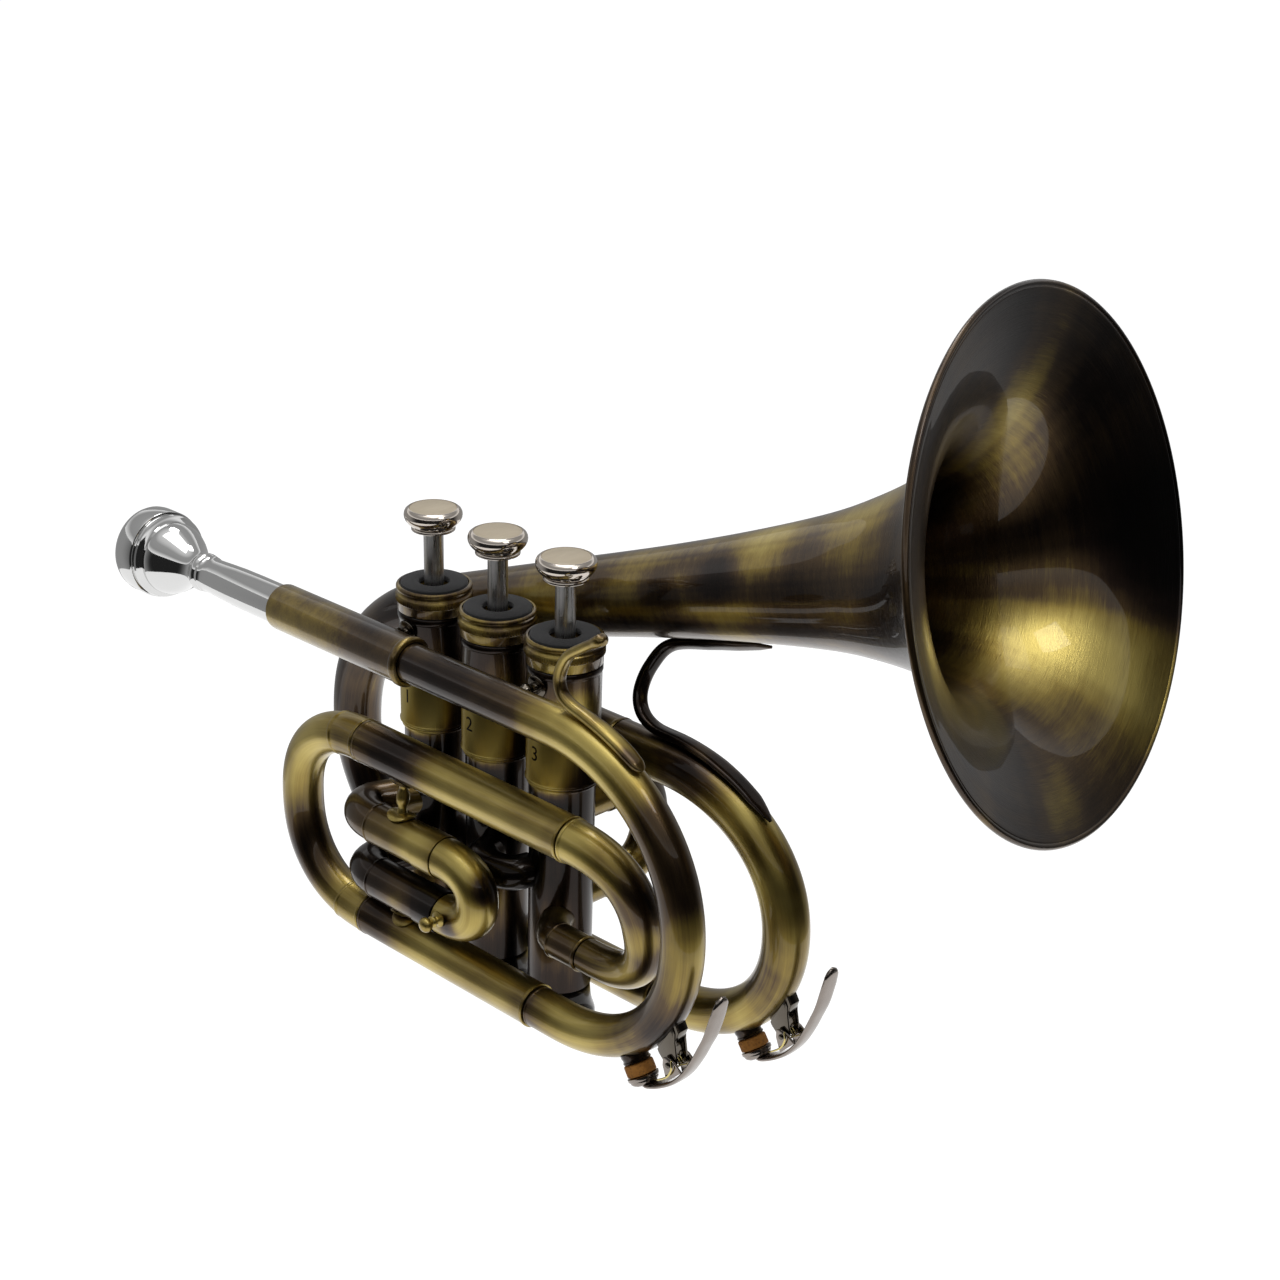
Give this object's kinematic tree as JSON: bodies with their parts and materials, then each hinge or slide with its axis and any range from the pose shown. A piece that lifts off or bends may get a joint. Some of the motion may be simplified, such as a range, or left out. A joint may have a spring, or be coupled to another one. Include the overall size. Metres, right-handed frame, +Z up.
{
  "type": "pocket trumpet",
  "caption": "Compact brass trumpet wound into short loops, with piston valves, valve slides, sprung water keys and an upward-pitched bell.",
  "frame": {"origin": "middle of the second valve casing on its axis, where the left hand grips the casings", "axes": "+X the way the bell points, +Z up along the valves towards the finger buttons, +Y to the player's left"},
  "size_m": [0.2983, 0.1477, 0.2209],
  "materials": {
    "antique_brass": "satin antique brass with patches of dark patina under clear lacquer",
    "dark_brass": "brass chemically darkened almost to black, satin with warm worn edges",
    "nickel": "bright warm nickel plate",
    "silver_plate": "mirror-bright silver plate",
    "steel": "ground and lapped steel",
    "felt": "dense black felt",
    "cork": "orange-brown cork"
  },
  "bodies": {
    "root": {"valve_casing_1": "antique_brass", "top_cap_1": "antique_brass", "felt_washer_1": "felt", "bottom_cap_1": "dark_brass", "piston_spring_1": "steel", "valve_casing_2": "antique_brass", "top_cap_2": "antique_brass", "felt_washer_2": "felt", "bottom_cap_2": "dark_brass", "piston_spring_2": "steel", "valve_casing_3": "antique_brass", "top_cap_3": "antique_brass", "felt_washer_3": "felt", "bottom_cap_3": "dark_brass", "piston_spring_3": "steel", "mouthpiece_receiver": "antique_brass", "leadpipe": "antique_brass", "tuning_upper_sleeve": "antique_brass", "tuning_lower_sleeve": "antique_brass", "third_valve_bow": "antique_brass", "third_valve_knuckle": "antique_brass", "first_sleeve_upper": "antique_brass", "first_sleeve_lower": "dark_brass", "second_sleeve_upper": "antique_brass", "second_sleeve_lower": "antique_brass", "third_sleeve_upper": "antique_brass", "third_sleeve_lower": "antique_brass", "bell": "antique_brass", "bell_rear_bow": "antique_brass", "far_lower_leg": "antique_brass", "far_front_bow": "antique_brass", "far_upper_leg": "antique_brass", "finger_hook": "antique_brass", "bell_strap": "dark_brass", "slide_post_upper": "antique_brass", "slide_post_lower": "antique_brass", "leadpipe_post_first": "nickel", "leadpipe_post_third": "nickel", "near_key_saddle": "dark_brass", "near_key_nipple": "dark_brass", "near_key_spring": "antique_brass", "far_key_saddle": "dark_brass", "far_key_nipple": "dark_brass", "far_key_spring": "antique_brass"},
    "valve_1": {"piston_1": "steel", "finger_button_1": "nickel"},
    "valve_2": {"piston_2": "steel", "finger_button_2": "nickel"},
    "valve_3": {"piston_3": "steel", "finger_button_3": "nickel"},
    "tuning_slide": {"main_tuning_slide": "antique_brass"},
    "first_valve_slide": {"first_slide": "antique_brass", "first_slide_knob": "antique_brass"},
    "second_valve_slide": {"second_slide": "antique_brass"},
    "third_valve_slide": {"third_slide": "antique_brass"},
    "mouthpiece_body": {"mouthpiece": "silver_plate"},
    "near_water_key": {"near_key_lever": "nickel", "near_key_cork": "cork"},
    "far_water_key": {"far_key_lever": "nickel", "far_key_cork": "cork"}
  },
  "joints": [
    {"name": "valve_1_stroke", "type": "slide", "parent": "root", "child": "valve_1", "axis": [0, 0, -1], "range_m": [0, 0.0146], "stiffness_N_per_m": 220, "springref_m": -0.012, "deforming": ["piston_spring_1"]},
    {"name": "valve_2_stroke", "type": "slide", "parent": "root", "child": "valve_2", "axis": [0, 0, -1], "range_m": [0, 0.0146], "stiffness_N_per_m": 220, "springref_m": -0.012, "deforming": ["piston_spring_2"]},
    {"name": "valve_3_stroke", "type": "slide", "parent": "root", "child": "valve_3", "axis": [0, 0, -1], "range_m": [0, 0.0146], "stiffness_N_per_m": 220, "springref_m": -0.012, "deforming": ["piston_spring_3"]},
    {"name": "tuning_slide_pull", "type": "slide", "parent": "root", "child": "tuning_slide", "axis": [-1, 0, 0], "range_m": [0, 0.04]},
    {"name": "first_slide_pull", "type": "slide", "parent": "root", "child": "first_valve_slide", "axis": [1, 0, 0], "range_m": [0, 0.02]},
    {"name": "second_slide_pull", "type": "slide", "parent": "root", "child": "second_valve_slide", "axis": [0, 1, 0], "range_m": [0, 0.009]},
    {"name": "third_slide_pull", "type": "slide", "parent": "root", "child": "third_valve_slide", "axis": [0, 1, 0], "range_m": [0, 0.009]},
    {"name": "mouthpiece_pull", "type": "slide", "parent": "root", "child": "mouthpiece_body", "axis": [-1, 0, 0], "range_m": [0, 0.025]},
    {"name": "near_key_hinge", "type": "hinge", "parent": "root", "child": "near_water_key", "pos_m": [0.09446, -0.024, -0.03698], "axis": [0, -1, 0], "range_deg": [0, 12], "stiffness_Nm_per_rad": 0.02, "springref_deg": -17.19},
    {"name": "far_key_hinge", "type": "hinge", "parent": "root", "child": "far_water_key", "pos_m": [0.0944, 0.02185, -0.04828], "axis": [0, -1, 0], "range_deg": [0, 12], "stiffness_Nm_per_rad": 0.02, "springref_deg": -17.19}
  ]
}
